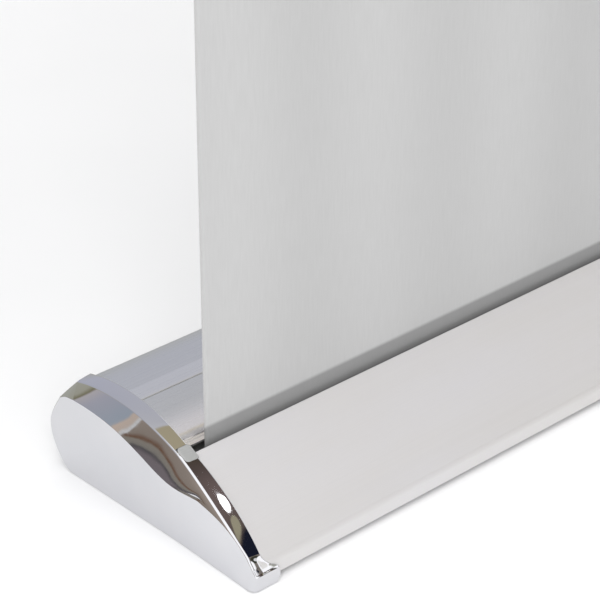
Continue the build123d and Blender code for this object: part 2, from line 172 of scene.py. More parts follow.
# ------------------------------------------------------------------ materials
def chrome_cap():
    """Bright plating: a mirror with faint polishing waves and a few rubbed patches."""
    material, nodes, place, shader = shaded("chrome_cap", metallic=1.0)
    cloud = nodes.noise(place, 22.0, 3.0)
    rub = nodes.noise(nodes.stretched(place, (900.0, 250.0, 900.0)), 1.0, 2.0)
    colour = nodes.ramp(cloud, ((0.3, (0.635, 0.64, 0.665)), (0.7, (0.665, 0.665, 0.685))))
    roughness = nodes.remap(rub, 0.35, 0.8, 0.025, 0.055)
    wave = nodes.bump(nodes.noise(place, 60.0, 1.0), 0.012, 0.002)
    feed(nodes, shader, Base_Color=colour, Roughness=roughness, Normal=wave)
    return material


def drawn_aluminium(name, colours, roughness, metallic=1.0, bump=0.05, painted_highlight=None):
    """Anodised extrusion: fine die lines along X, soft cloudiness and a slightly uneven sheen.

    The last argument is (y where the highlight starts, y where it is full, colour): a painted highlight, a
    brighter stretch of colour that stands in for the reflection along the rolled front edge.
    """
    material, nodes, place, shader = shaded(name, metallic=metallic)
    lines = nodes.noise(nodes.stretched(place, (1.5, 2400.0, 2400.0)), 1.0, 2.0)
    cloud = nodes.noise(nodes.stretched(place, (4.0, 14.0, 14.0)), 1.0, 3.0)
    grain = nodes.noise(place, 5200.0, 1.0)
    base = nodes.ramp(cloud, ((0.3, colours[0]), (0.7, colours[1])))
    if painted_highlight:
        # painted highlight: the colour brightens towards the front by y, standing for a reflection on the
        # rolled edge
        y = nodes.make("ShaderNodeSeparateXYZ", {0: place}).outputs[1]
        base = nodes.mix(nodes.remap(y, painted_highlight[0], painted_highlight[1], smooth=True), base, painted_highlight[2])
    streaked = nodes.mix(0.05, base, nodes.ramp(lines, ((0.3, (0.4,) * 3), (0.7, (1.0,) * 3))), "MULTIPLY")
    sheen = nodes.remap(nodes.math("ADD", lines, grain), 0.7, 1.3, roughness * 0.88, roughness * 1.12)
    relief = nodes.bump(nodes.math("ADD", lines, nodes.math("MULTIPLY", grain, 0.6)), bump, 0.0002)
    feed(nodes, shader, Base_Color=streaked, Roughness=sheen, Normal=relief)
    return material


def drawn_tube():
    """Anodised pole tube: die lines run up the tube."""
    material, nodes, place, shader = shaded("pole_anodised", metallic=1.0)
    lines = nodes.noise(nodes.stretched(place, (2400.0, 2400.0, 1.5)), 1.0, 2.0)
    cloud = nodes.noise(nodes.stretched(place, (14.0, 14.0, 5.0)), 1.0, 3.0)
    colour = nodes.ramp(cloud, ((0.3, (0.60, 0.61, 0.63)), (0.7, (0.66, 0.67, 0.69))))
    feed(
        nodes, shader,
        Base_Color=colour,
        Roughness=nodes.remap(lines, 0.3, 0.7, 0.24, 0.34),
        Normal=nodes.bump(lines, 0.06, 0.0002),
    )
    return material


def moulded(name, dark, light, roughness, grain_scale=1800.0, bump=0.15):
    """Moulded plastic or rubber: spark-eroded grain and scuffed patches."""
    material, nodes, place, shader = shaded(name)
    grain = nodes.noise(place, grain_scale, 2.0)
    scuff = nodes.noise(place, 35.0, 4.0)
    feed(
        nodes, shader,
        Base_Color=nodes.ramp(scuff, ((0.35, dark), (0.75, light))),
        Roughness=nodes.remap(scuff, 0.3, 0.8, roughness * 0.85, roughness * 1.15),
        Normal=nodes.bump(grain, bump, 0.0003),
    )
    return material


def pad_satin():
    """Satin silver insert: faint brushing along X."""
    material, nodes, place, shader = shaded("pad_satin", metallic=0.35)
    brush = nodes.noise(nodes.stretched(place, (120.0, 3500.0, 3500.0)), 1.0, 2.0)
    feed(
        nodes, shader,
        Base_Color=nodes.ramp(brush, ((0.3, (0.37, 0.375, 0.37)), (0.7, (0.42, 0.425, 0.42)))),
        Roughness=nodes.remap(brush, 0.3, 0.7, 0.36, 0.5),
        Normal=nodes.bump(brush, 0.12, 0.0002),
    )
    return material


def plated_steel(name, dark, light, roughness):
    """Zinc plate or oiled wire: crystalline patches under a dull shine."""
    material, nodes, place, shader = shaded(name, metallic=1.0)
    crystal = nodes.make("ShaderNodeTexVoronoi", {"Vector": place, "Scale": 700.0}).outputs["Distance"]
    feed(
        nodes, shader,
        Base_Color=nodes.ramp(crystal, ((0.1, dark), (0.7, light))),
        Roughness=nodes.remap(crystal, 0.0, 0.8, roughness * 0.8, roughness * 1.2),
        Normal=nodes.bump(crystal, 0.08, 0.0003),
    )
    return material


THREAD_PITCH = 0.00085
SHADE_BAND_PITCH = 0.14  # painted shade: slow upright bands of light and shade across the cloth, as from its gentle waves
SHADE_BAND_SHIFT = 0.36
LEADER_TOP = 0.0785  # the grey leader shows this far up, just above the slot
LEADER_BLUR = 0.002


def banner_fabric():
    """Blank polyester cloth: a plain weave with upright slubs, painted shade in slow upright bands, grey
    leader above the slot.
    """
    material, nodes, _, shader = shaded("banner_fabric", **{"Sheen Weight": 0.15, "Sheen Roughness": 0.5})
    place = nodes.make("ShaderNodeTexCoord").outputs["UV"]
    across = nodes.make("ShaderNodeSeparateXYZ", {0: place})
    threads = []
    for axis in (0, 1):
        turn = nodes.math("MULTIPLY", across.outputs[axis], 2 * pi / THREAD_PITCH)
        threads.append(nodes.math("ABSOLUTE", nodes.math("SINE", turn)))
    weave = nodes.math("MULTIPLY", threads[0], threads[1])
    slub = nodes.noise(nodes.stretched(place, (650.0, 45.0, 1.0)), 1.0, 3.0)
    cloud = nodes.noise(nodes.stretched(place, (6.0, 1.6, 1.0)), 1.0, 2.0)
    base = nodes.ramp(cloud, ((0.3, (0.485, 0.485, 0.485)), (0.7, (0.50, 0.50, 0.50))))
    # painted shade: the colour darkens by up to 5% in sine bands across the cloth, standing for light and
    # shade on its waves
    painted_band_shade = nodes.math("ADD", across.outputs[0], SHADE_BAND_SHIFT)
    painted_band_shade = nodes.math("SINE", nodes.math("MULTIPLY", painted_band_shade, 2 * pi / SHADE_BAND_PITCH))
    base = nodes.mix(nodes.remap(painted_band_shade, -1.0, 1.0, 0.0, 0.05), base, (0.0, 0.0, 0.0))
    leader = nodes.remap(across.outputs[1], LEADER_TOP - LEADER_BLUR, LEADER_TOP + LEADER_BLUR, smooth=True)
    base = nodes.mix(leader, (0.26, 0.26, 0.26), base)
    woven = nodes.mix(0.10, base, nodes.ramp(slub, ((0.3, (0.45,) * 3), (0.7, (1.0,) * 3))), "MULTIPLY")
    feed(
        nodes, shader,
        Base_Color=woven,
        Roughness=nodes.remap(slub, 0.3, 0.7, 0.52, 0.66),
        Normal=nodes.bump(nodes.math("ADD", weave, nodes.math("MULTIPLY", slub, 1.4)), 0.35, 0.00012),
    )
    return material


MATERIALS = {
    "chrome_cap": chrome_cap(),
    "pad_satin": pad_satin(),
    "anodised_rear": drawn_aluminium(
        "anodised_rear", ((0.69, 0.70, 0.695), (0.725, 0.735, 0.73)), 0.30,
        # painted highlight along the housing's rolled front edge at the slot
        painted_highlight=(0.014, -0.010, (0.95, 0.93, 0.93)),
    ),
    "pearl_front": drawn_aluminium(
        "pearl_front", ((0.645, 0.63, 0.62), (0.66, 0.65, 0.665)), 0.42, metallic=0.35,
    ),
    "strip_satin": drawn_aluminium("strip_satin", ((0.765, 0.77, 0.765), (0.80, 0.805, 0.80)), 0.30),
    "mill_aluminium": drawn_aluminium(
        "mill_aluminium", ((0.56, 0.56, 0.57), (0.64, 0.64, 0.65)), 0.38, bump=0.12,
    ),
    "pole_anodised": drawn_tube(),
    "black_plastic": moulded("black_plastic", (0.018, 0.018, 0.02), (0.035, 0.035, 0.038), 0.45),
    "zinc_steel": plated_steel("zinc_steel", (0.42, 0.43, 0.45), (0.60, 0.61, 0.63), 0.30),
    "spring_steel": plated_steel("spring_steel", (0.18, 0.18, 0.20), (0.34, 0.34, 0.36), 0.35),
    "foot_rubber": moulded("foot_rubber", (0.02, 0.02, 0.02), (0.04, 0.04, 0.04), 0.8, 900.0, 0.3),
    "banner_fabric": banner_fabric(),
}

for subpart in frame["record"]["subparts"]:
    node_object = frame["nodes"][subpart["node"]]
    node_object.data.materials.clear()
    node_object.data.materials.append(MATERIALS[subpart["material_slot"]])


# ------------------------------------------------------------------ mesh helpers
def new_piece(name, mesh, body, slot, *replaced):
    """Link a mesh as a piece that rides a body, takes a record slot's finish and stands for CAD nodes."""
    piece = bpy.data.objects.new(name, mesh)
    scene.collection.objects.link(piece)
    if not mesh.materials:
        mesh.materials.append(MATERIALS[slot])
    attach(piece, body)
    if replaced:
        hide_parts(*replaced)
    return piece


def finished(mesh_maker, name):
    """The built mesh, with its maker freed."""
    mesh = bpy.data.meshes.new(name)
    mesh_maker.to_mesh(mesh)
    mesh_maker.free()
    return mesh


def clamped(value, low=0.0, high=1.0):
    return min(max(value, low), high)


def through(points, per_span):
    """Points of a smooth curve through the given ones (Catmull-Rom), in any number of dimensions."""
    points = [Vector(point) for point in points]
    first, last = points[0] * 2 - points[1], points[-1] * 2 - points[-2]
    padded = [first, *points, last]
    curve = []
    for i in range(1, len(padded) - 2):
        before, start, end, after = padded[i - 1:i + 3]
        for step in range(per_span):
            t = step / per_span
            curve.append(
                (start * 2 + (end - before) * t
                 + (before * 2 - start * 5 + end * 4 - after) * t ** 2
                 + (start * 3 - before - end * 3 + after) * t ** 3) / 2
            )
    curve.append(points[-1])
    return curve


def averaged(curve, times):
    """Each point moved halfway to the middle of its neighbours, a number of times."""
    for _ in range(times):
        middle = [(curve[i - 1] + curve[i] * 2 + curve[i + 1]) / 4 for i in range(1, len(curve) - 1)]
        curve = [curve[0], *middle, curve[-1]]
    return curve


def evened(curve, times):
    """The curve without its small wobbles: averaged, with the averaged remainder put back on."""
    soft = averaged(curve, times)
    remainder = averaged([point - low for point, low in zip(curve, soft)], times)
    return [low + rest for low, rest in zip(soft, remainder)]


# ------------------------------------------------------------------ end caps
# Millimetres. x runs inwards from the cap's flat face; each station gives a point on the face's edge,
# one on the rim's outer edge and one on the rim's inner edge.
CAP_FACET_REAR = (
    ((0, 102.3, 62.3), (0.6, 102.6, 62.8), (19.7, 102.9, 62.4)),
    ((0, 95.5, 65.8), (2.5, 95.2, 71.2), (19.7, 96.8, 71.2)),
    ((0, 86.0, 67.2), (5.0, 86.0, 81.2), (19.7, 88.5, 81.2)),
)
CAP_CREST = (
    ((0, 86.0, 67.2), (5.0, 86.0, 81.2), (19.7, 88.5, 81.2)),
    ((0, 70.0, 67.3), (5.0, 70.0, 84.9), (19.7, 70.0, 84.9)),
    ((0, 51.0, 65.8), (5.0, 52.0, 86.3), (19.7, 50.0, 86.0)),
    ((0, 33.0, 62.5), (5.2, 36.0, 86.0), (19.4, 31.0, 85.2)),
    ((0, 16.3, 57.6), (5.5, 20.0, 84.5), (18.8, 13.0, 82.9)),
    ((0, 1.6, 52.2), (5.8, 5.0, 81.0), (18.6, -3.8, 78.3)),
    ((0, -9.4, 48.2), (6.0, -10.0, 76.2), (18.3, -16.5, 73.4)),
    ((0, -20.3, 44.6), (6.0, -24.0, 71.0), (18.2, -27.0, 69.0)),
    ((0, -33.0, 41.8), (5.5, -36.0, 65.2), (18.2, -36.0, 65.0)),
    ((0.5, -49.0, 42.0), (4.8, -51.0, 56.7), (18.6, -51.0, 56.8)),
    ((1.2, -67.0, 39.8), (3.6, -69.0, 45.9), (18.0, -69.4, 46.0)),
    ((2.2, -84.0, 35.2), (2.7, -85.0, 35.8), (16.6, -86.0, 35.5)),
    ((1.7, -99.6, 25.2), (2.1, -100.0, 25.9), (14.0, -101.1, 25.2)),
    ((1.35, -104.2, 22.0), (1.8, -104.5, 22.75), (12.9, -105.6, 22.0)),
)
CAP_SCOOP = (
    ((1.35, -104.2, 22.0), (1.8, -104.5, 22.75), (12.9, -105.6, 22.0)),
    ((0.9, -107.9, 18.75), (1.4, -108.2, 19.45), (12.9, -109.0, 19.4)),
    ((0.4, -111.7, 15.3), (0.9, -112.0, 16.0), (15.3, -112.3, 16.9)),
    ((0.15, -113.8, 13.65), (0.65, -114.1, 14.35), (18.5, -113.9, 15.1)),
    ((-0.1, -115.25, 12.45), (0.5, -115.35, 13.25), (21.8, -115.25, 13.35)),
)
CAP_REAR = (  # from the floor up to the shoulder
    (94.75, 0.0), (102.0, 4.5), (106.0, 8.9), (109.6, 13.8), (113.2, 20.3), (115.7, 27.3),
    (116.25, 35.1), (114.95, 41.5), (111.5, 48.7), (106.3, 56.9), (102.6, 62.4),
)
CAP_REAR_AXIS = (50.0, 35.0)  # y, z of the middle of the rounded rear
CAP_WEB = 8.0  # depth of the plate behind the face
CAP_RIM = 19.7  # depth of the rim
WEB_TOP = 5.0  # below this height the rear is only as deep as the web
FACE_CORE = ((-98.0, 10.0), (78.0, 34.0))  # y, z of the ends of the line that the face's rings close in on
FACE_RINGS = (0.25, 0.5, 0.75, 0.9)  # shares of the way to that line
CREST_STEPS = 9  # points for each span between the crest's keys
CREST_EVENING = 70
SCOOP_STEPS = 7
SHOULDER_STEPS = 5
REAR_STEPS = 4
TOE_FRONT = -116.25
TOE_BACK = -113.35  # the inner face of the toe's front wall
TOE_HEIGHT = 12.8
TOE_LEVELS = (12.0, 9.5, 5.5, 2.0, 0.6)  # heights of the stations down the toe's front
TOE_END = ((0.0, 19.9), (5.6, 23.3), (10.0, 22.4), (12.8, 21.6))  # height, depth of the toe's inner end
FOOT = (-109.5, 94.0)  # the foot on the floor, from the toe to the heel
FOOT_STEPS = 26
SCOOP_START = -104.5
SCOOP_DEPTH = 1.25
SCOOP_RUN = 4.5  # distance over which the scoop reaches its depth
FACE_FLARE = 3.0  # the face leans outwards at the floor, towards the toe
FLARE_START = -20.0
FLARE_POWER = 1.3
HOUSING_GAP = 1.05  # the rim stands this far above the housing's skin
EDGE_ROUND = 0.5
INNER_ROUND = 0.4
FILLET_STEPS = 6
TOE_FILLET = (5.5, 4.2)  # round between face and toe at the floor, and how much less it is at the top
RIM_FILLET = (0.25, 7.0)  # round between face and facet behind the pole, and how much more it is at the toe
FACET_STEPS = (0.025, 0.15, 0.3, 0.45, 0.6, 0.75, 0.9, 0.975)  # from the face up to the rim
RIM_STEPS = (0.0, 0.03, 0.1, 0.2, 0.3, 0.4, 0.5, 0.6, 0.7, 0.8, 0.9, 0.97, 1.0)  # across the rim
FRONT_EDGE = 1.3  # bevel along the rim, in front of the slot
FRONT_RUN = (-112.0, -28.0)  # where that bevel starts and ends
RIM_CROWN = 0.18  # how far the rim and the facet bulge
FACET_BULGE = 0.22


def face_edge(y):
    """Depth and height of the face's upper edge in front of the pole."""
    edge = [key[0] for key in (*CAP_CREST[8:], *CAP_SCOOP[1:])]
    for (x1, y1, z1), (x2, y2, z2) in zip(edge, edge[1:]):
        if y >= y2:
            break
    share = clamped((y1 - y) / (y1 - y2))
    return x1 + (x2 - x1) * share, z1 + (z2 - z1) * share


def face_x(y, z):
    """The face is flat; in front of the pole it flares outwards low down and leans in to its upper edge."""
    share = clamped((FLARE_START - y) / (FLARE_START - TOE_FRONT))
    foot = -FACE_FLARE * share ** FLARE_POWER
    top, height = face_edge(y)
    return foot + (top - foot) * min(z / height, 1.0) ** FLARE_POWER


def core_point(y, margin=0.0):
    """The point of the line along the face's middle that a point at y closes in on."""
    (toe_y, toe_z), (heel_y, heel_z) = FACE_CORE
    y = clamped(y, toe_y + margin, heel_y - margin)
    return y, toe_z + (heel_z - toe_z) * (y - toe_y) / (heel_y - toe_y)


def toe_depth(height):
    """How far in from the face the toe block reaches at a height."""
    for (low, low_depth), (high, high_depth) in zip(TOE_END, TOE_END[1:]):
        if height <= high:
            break
    return low_depth + (high_depth - low_depth) * (height - low) / (high - low)


def cap_stations():
    """The closed loop of stations: face edge, rim's outer edge, rim's inner edge, is it a corner."""
    rows = []

    def add(keys, per_span, drop_last=True, even=0):
        flat = [sum(key, ()) for key in keys]
        curve = evened(through(flat, per_span), even)
        points = curve[:-1] if drop_last else curve
        for number, value in enumerate(points):
            rows.append([Vector(value[0:3]), Vector(value[3:6]), Vector(value[6:9]), number == 0])

    add(CAP_FACET_REAR, SHOULDER_STEPS)
    add(CAP_CREST, CREST_STEPS, even=CREST_EVENING)
    add(CAP_SCOOP, SCOOP_STEPS, drop_last=False)
    for height in TOE_LEVELS:
        rows.append([
            Vector((face_x(TOE_FRONT, height), TOE_FRONT, height)),
            Vector((5.0, TOE_FRONT, height)),
            Vector((toe_depth(height), TOE_FRONT, height)),
            height == TOE_LEVELS[0],
        ])
    for step in range(FOOT_STEPS):
        y = FOOT[0] + (FOOT[1] - FOOT[0]) * step / (FOOT_STEPS - 1)
        low_x = face_x(y, 0.0)
        rows.append([
            Vector((low_x, y, EDGE_ROUND)),
            Vector((low_x + EDGE_ROUND, y, 0.0)),
            Vector((CAP_WEB, y, 0.0)),
            step == 0,
        ])
    for number, (y, z) in enumerate(through(CAP_REAR, REAR_STEPS)[1:-1]):
        outward = (Vector((y, z)) - Vector(CAP_REAR_AXIS)).normalized() * EDGE_ROUND
        rows.append([
            Vector((0, y - outward[0], z - outward[1])),
            Vector((EDGE_ROUND, y, z)),
            Vector((CAP_RIM if z > WEB_TOP else CAP_WEB, y, z)),
            number == 0,
        ])
    return rows


def cap_mesh(name, side):
    """One end cap as a closed shell of rows across the rim, laid round the outline."""
    stations = cap_stations()
    count = len(stations)
    outer = abs(cad_low[0] if side < 0 else cad_high[0]) / MM
    rows = []
    for i, (face, rim, inner, _) in enumerate(stations):
        after, before = stations[(i + 1) % count][1], stations[i - 1][1]
        run = Vector((0, after.y - before.y, after.z - before.z)).normalized()
        outward = Vector((0, run.z, -run.y))  # the loop runs rear to toe over the top
        if outward.dot(Vector((0, rim.y, rim.z - 25.0))) < 0:
            outward = -outward
        centre_y, centre_z = core_point(rim.y)
        inwards = Vector((0, centre_y - face.y, centre_z - face.z)).normalized()
        across = rim - face
        reach = across.length
        facet = across.normalized()
        on_front = rim.y < TOE_FRONT + 0.1 and 0.1 < rim.z < TOE_HEIGHT - 0.3
        on_crest = rim.z > TOE_HEIGHT - 0.2
        if on_front:
            fillet = TOE_FILLET[0] - TOE_FILLET[1] * (rim.z / TOE_HEIGHT)
        else:  # sharp behind the pole, softer and softer over the 60 mm in front of it
            fillet = min(RIM_FILLET[0] + RIM_FILLET[1] * clamped((-face.y - 5.0) / 60.0), 0.42 * reach)
        edge = min(EDGE_ROUND, 0.3 * reach)
        start, end = face + inwards * fillet, face + facet * fillet
        row = [face + inwards * (fillet + 1.0)]
        for step in range(FILLET_STEPS + 1):
            t = step / FILLET_STEPS
            row.append(start * (1 - t) ** 2 + face * 2 * t * (1 - t) + end * t ** 2)
        top_of_facet = rim - facet * edge
        facet_out = Vector((-facet.z, 0, facet.x)).normalized()
        # the facet is full where it is wide, and flat at the heel
        bulge = FACET_BULGE * clamped((92.0 - rim.y) / 30.0) * min(reach / 16.0, 1.0) ** 2
        for u in FACET_STEPS:
            row.append(end.lerp(top_of_facet, u) + facet_out * bulge * 4 * u * (1 - u))
        row.append(top_of_facet)
        to_inner = (inner - rim).normalized()
        rim_edge = FRONT_EDGE if FRONT_RUN[0] < rim.y < FRONT_RUN[1] and rim.z > TOE_HEIGHT else edge
        rim_start = rim + to_inner * rim_edge
        rim_end = inner - to_inner * INNER_ROUND
        crown = RIM_CROWN * clamped((rim.y - SCOOP_START) / 25.0) if rim.z > WEB_TOP else 0.0
        if on_crest and rim.y < SCOOP_START:
            share = min((SCOOP_START - rim.y) / SCOOP_RUN, 1.0)
            crown = -SCOOP_DEPTH * share * share * (3 - 2 * share)
        for u in RIM_STEPS:
            row.append(rim_start.lerp(rim_end, u) + outward * crown * (1 - (2 * u - 1) ** 2))
        if on_front:
            row.append(inner + Vector((0, 0.6, 0)))
        else:
            row.append(inner - outward * INNER_ROUND)
        if rim.z <= WEB_TOP and not on_front:
            under = Vector((inner.x, inner.y, inner.z + 1.0))
        elif on_front:
            under = Vector((inner.x, TOE_BACK, inner.z))
        else:
            under = inner - outward * HOUSING_GAP
        row.append(under)
        row.append(Vector((CAP_WEB, under.y, under.z)))
        row[0].x = face_x(row[0].y, row[0].z)
        rows.append(row)

    mesh_maker = bmesh.new()

    def vertex(point):
        return mesh_maker.verts.new((side * (outer - point.x) * MM, point.y * MM, point.z * MM))

    grid = [[vertex(point) for point in row] for row in rows]
    width = len(rows[0])
    for i in range(count):
        here, there = grid[i], grid[(i + 1) % count]
        for j in range(width - 1):
            mesh_maker.faces.new((here[j], here[j + 1], there[j + 1], there[j]))
    # the face: rings that shrink towards a line along its middle
    ring = [row[0] for row in grid]
    ring_points = [row[0] for row in rows]
    for share in FACE_RINGS:
        next_ring = []
        for point in ring_points:
            centre_y, centre_z = core_point(point.y, margin=2.0)
            y = point.y + (centre_y - point.y) * share
            z = point.z + (centre_z - point.z) * share
            next_ring.append(vertex(Vector((face_x(y, z), y, z))))
        for i in range(count):
            k = (i + 1) % count
            mesh_maker.faces.new((ring[i], ring[k], next_ring[k], next_ring[i]))
        ring = next_ring
    # the last ring is closed from the toe to the heel by triangles between its upper and lower halves
    front = min(range(count), key=lambda i: ring[i].co.y)
    rear = max(range(count), key=lambda i: ring[i].co.y)
    upper = [ring[(front - i) % count] for i in range((front - rear) % count + 1)]
    lower = [ring[(front + i) % count] for i in range((rear - front) % count + 1)]
    mesh_maker.faces.new((upper[0], upper[1], lower[1]))
    a = b = 1
    while a < len(upper) - 1 or b < len(lower) - 1:
        climb = b == len(lower) - 1 or (a < len(upper) - 1 and upper[a + 1].co.y < lower[b + 1].co.y)
        tip = upper[a + 1] if climb else lower[b + 1]
        if tip not in (upper[a], lower[b]):
            mesh_maker.faces.new((upper[a], tip, lower[b]))
        a, b = (a + 1, b) if climb else (a, b + 1)
    mesh_maker.faces.new([row[-1] for row in reversed(grid)])
    bmesh.ops.recalc_face_normals(mesh_maker, faces=mesh_maker.faces)
    for face in mesh_maker.faces:
        face.smooth = True
    for here, station in zip(grid, stations):
        if station[3]:
            for pair in zip(here, here[1:]):
                mesh_maker.edges.get(pair).smooth = False
    for i in range(count):
        for j in (width - 3, width - 2):
            mesh_maker.edges.get((grid[i][j], grid[(i + 1) % count][j])).smooth = False
    return finished(mesh_maker, name)


for side, word in ((-1, "left"), (1, "right")):
    name = f"cap_shell_{word}"
    new_piece(name, cap_mesh(name, side), "base", "chrome_cap", f"end_cap_{word}")


# ------------------------------------------------------------------ slot pads
PAD_SLOPE = radians(28.0)
PAD_HALF = (6.0, 6.9)  # across and along the rim
PAD_LEVELS = (  # growth of the half sizes, corner radius, height above the rim, material; material 1 is a black collar, painted shade for the gap round the insert
    (0.2, 3.1, -0.9, 1), (0.2, 3.1, 0.05, 1), (-0.1, 2.9, 0.05, 1), (-0.1, 2.9, 0.35, 0),
    (-0.2, 2.85, 0.6, 0), (-0.45, 2.7, 0.74, 0), (-0.85, 2.4, 0.8, 0), (-2.5, 1.6, 0.84, 0),
    (-4.5, 0.7, 0.86, 0),
)


def rounded_rectangle(half_x, half_y, corner, steps=6):
    """Corner points of a rounded rectangle, anticlockwise."""
    points = []
    for quarter, (sx, sy) in enumerate(((1, 1), (-1, 1), (-1, -1), (1, -1))):
        for step in range(steps + 1):
            angle = pi / 2 * (quarter + step / steps)
            points.append((
                sx * (half_x - corner) + corner * cos(angle),
                sy * (half_y - corner) + corner * sin(angle),
            ))
    return points


def pad_mesh(name):
    """Satin insert with a rolled edge, in a black collar that stands for the shaded gap where it enters the
    rim (painted shade).
    """
    low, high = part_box(f"slot_pad_{name.rsplit('_', 1)[1]}")
    centre = (low + high) / 2
    along = Vector((0, cos(PAD_SLOPE), sin(PAD_SLOPE)))
    up = Vector((0, -sin(PAD_SLOPE), cos(PAD_SLOPE)))
    across = Vector((1, 0, 0))
    mesh_maker = bmesh.new()
    rings = []
    for grow, corner, height, _ in PAD_LEVELS:
        rings.append([
            mesh_maker.verts.new(centre + (across * x + along * y + up * height) * MM)
            for x, y in rounded_rectangle(PAD_HALF[0] + grow, PAD_HALF[1] + grow, corner)
        ])
    size = len(rings[0])
    for level, (under, over) in enumerate(zip(rings, rings[1:])):
        for i in range(size):
            k = (i + 1) % size
            face = mesh_maker.faces.new((under[i], under[k], over[k], over[i]))
            face.material_index = PAD_LEVELS[level][3]
            face.smooth = True
    mesh_maker.faces.new(rings[-1])
    mesh_maker.faces.new(reversed(rings[0])).material_index = 1
    bmesh.ops.recalc_face_normals(mesh_maker, faces=mesh_maker.faces)
    mesh = finished(mesh_maker, name)
    mesh.materials.append(MATERIALS["pad_satin"])
    # painted shade: the black collar and underside stand for the shadowed gap round the insert
    mesh.materials.append(MATERIALS["black_plastic"])
    return mesh


for word in ("left", "right"):
    name = f"pad_insert_{word}"
    new_piece(name, pad_mesh(name), "base", "pad_satin", f"slot_pad_{word}")


# ------------------------------------------------------------------ crown strips
SHARP_ANGLE = radians(50)
STRIP_SECTION = (  # y, z: slightly proud of the hump, with rolled edges that close the channel
    (30.7, 82.6), (30.7, 83.0), (30.85, 83.12), (31.3, 83.25), (35.0, 83.42), (39.0, 83.55),
    (43.0, 83.69), (46.6, 83.84), (46.88, 83.78), (47.0, 83.6), (47.0, 82.6),
)


def strip_mesh(name, node):
    """A cover strip: its section drawn along the length of the CAD strip."""
    low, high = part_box(node)
    mesh_maker = bmesh.new()
    ends = [
        [mesh_maker.verts.new((x, y * MM, z * MM)) for y, z in STRIP_SECTION]
        for x in (low.x, high.x)
    ]
    count = len(STRIP_SECTION)
    for i in range(count):
        k = (i + 1) % count
        face = mesh_maker.faces.new((ends[0][i], ends[0][k], ends[1][k], ends[1][i]))
        face.smooth = 0 < i < count - 2
    mesh_maker.faces.new(ends[0])
    mesh_maker.faces.new(reversed(ends[1]))
    bmesh.ops.recalc_face_normals(mesh_maker, faces=mesh_maker.faces)
    for edge in mesh_maker.edges:
        edge.smooth = len(edge.link_faces) == 2 and edge.calc_face_angle(0.0) < SHARP_ANGLE
    return finished(mesh_maker, name)


for word in ("left", "right"):
    node = f"crown_strip_{word}"
    name = f"crown_cover_{word}"
    new_piece(name, strip_mesh(name, node), "base", "strip_satin", node)


# ------------------------------------------------------------------ banner
CLOTH_COLUMNS = 170
CLOTH_LINES = 200
CLOTH_SWING = 0.0011  # half height of the main wave
CLOTH_WAVES = ((0.163, 1.0, 0.0, 0.6), (0.27, 0.6, 1.1, -0.4))  # pitch, share, phase, lean with the height
SLOT_TOP = 0.085  # the waves start above this height
SLOT_FADE = 0.25
RAIL_FADE = 0.5


def banner_mesh():
    """A thin woven sheet with slow upright waves that die out at the slot and at the rail."""
    low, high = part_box("banner")
    middle_y = (low.y + high.y) / 2
    thickness = high.y - low.y
    width, height = high.x - low.x, high.z - low.z
    rail_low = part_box("rail_back")[0].z
    mesh_maker = bmesh.new()
    uv_layer = mesh_maker.loops.layers.uv.new("cloth")
    sheets = []
    for offset in (-thickness / 2, thickness / 2):
        sheet_rows = []
        for j in range(CLOTH_LINES + 1):
            z = low.z + height * j / CLOTH_LINES
            near_slot = clamped((z - SLOT_TOP) / SLOT_FADE)
            near_rail = clamped((rail_low - z) / RAIL_FADE)
            swing = CLOTH_SWING * (near_slot * near_rail) ** 0.7
            row = []
            for i in range(CLOTH_COLUMNS + 1):
                x = low.x + width * i / CLOTH_COLUMNS
                wave = sum(
                    share * sin(2 * pi * x / pitch + phase + lean * z)
                    for pitch, share, phase, lean in CLOTH_WAVES
                )
                row.append(mesh_maker.verts.new((x, middle_y + swing * wave + offset, z)))
            sheet_rows.append(row)
        sheets.append(sheet_rows)
    front, back = sheets
    for j in range(CLOTH_LINES):
        for i in range(CLOTH_COLUMNS):
            mesh_maker.faces.new((front[j][i], front[j][i + 1], front[j + 1][i + 1], front[j + 1][i]))
            mesh_maker.faces.new((back[j][i], back[j + 1][i], back[j + 1][i + 1], back[j][i + 1]))
    for j in range(CLOTH_LINES):
        mesh_maker.faces.new((front[j][0], front[j + 1][0], back[j + 1][0], back[j][0]))
        mesh_maker.faces.new((front[j][-1], back[j][-1], back[j + 1][-1], front[j + 1][-1]))
    for i in range(CLOTH_COLUMNS):
        mesh_maker.faces.new((front[0][i], back[0][i], back[0][i + 1], front[0][i + 1]))
        mesh_maker.faces.new((front[-1][i], front[-1][i + 1], back[-1][i + 1], back[-1][i]))
    for face in mesh_maker.faces:
        face.smooth = abs(face.normal.y) > 0.5 or face.calc_area() > 1e-5
        for loop in face.loops:
            loop[uv_layer].uv = (loop.vert.co.x, loop.vert.co.z)
    return finished(mesh_maker, "banner_cloth")


banner_cloth = new_piece("banner_cloth", banner_mesh(), "top_rail", "banner_fabric", "banner")
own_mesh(banner_cloth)

# ------------------------------------------------------------------ floor, light and surroundings
TABLE_EDGE = 0.08  # how far round the stand its mirrors see the white floor
TABLE_FRONT = 0.3  # and how much further they see it in front
TABLE_BLUR = 0.02
FLOOR_RADIUS = 2.4


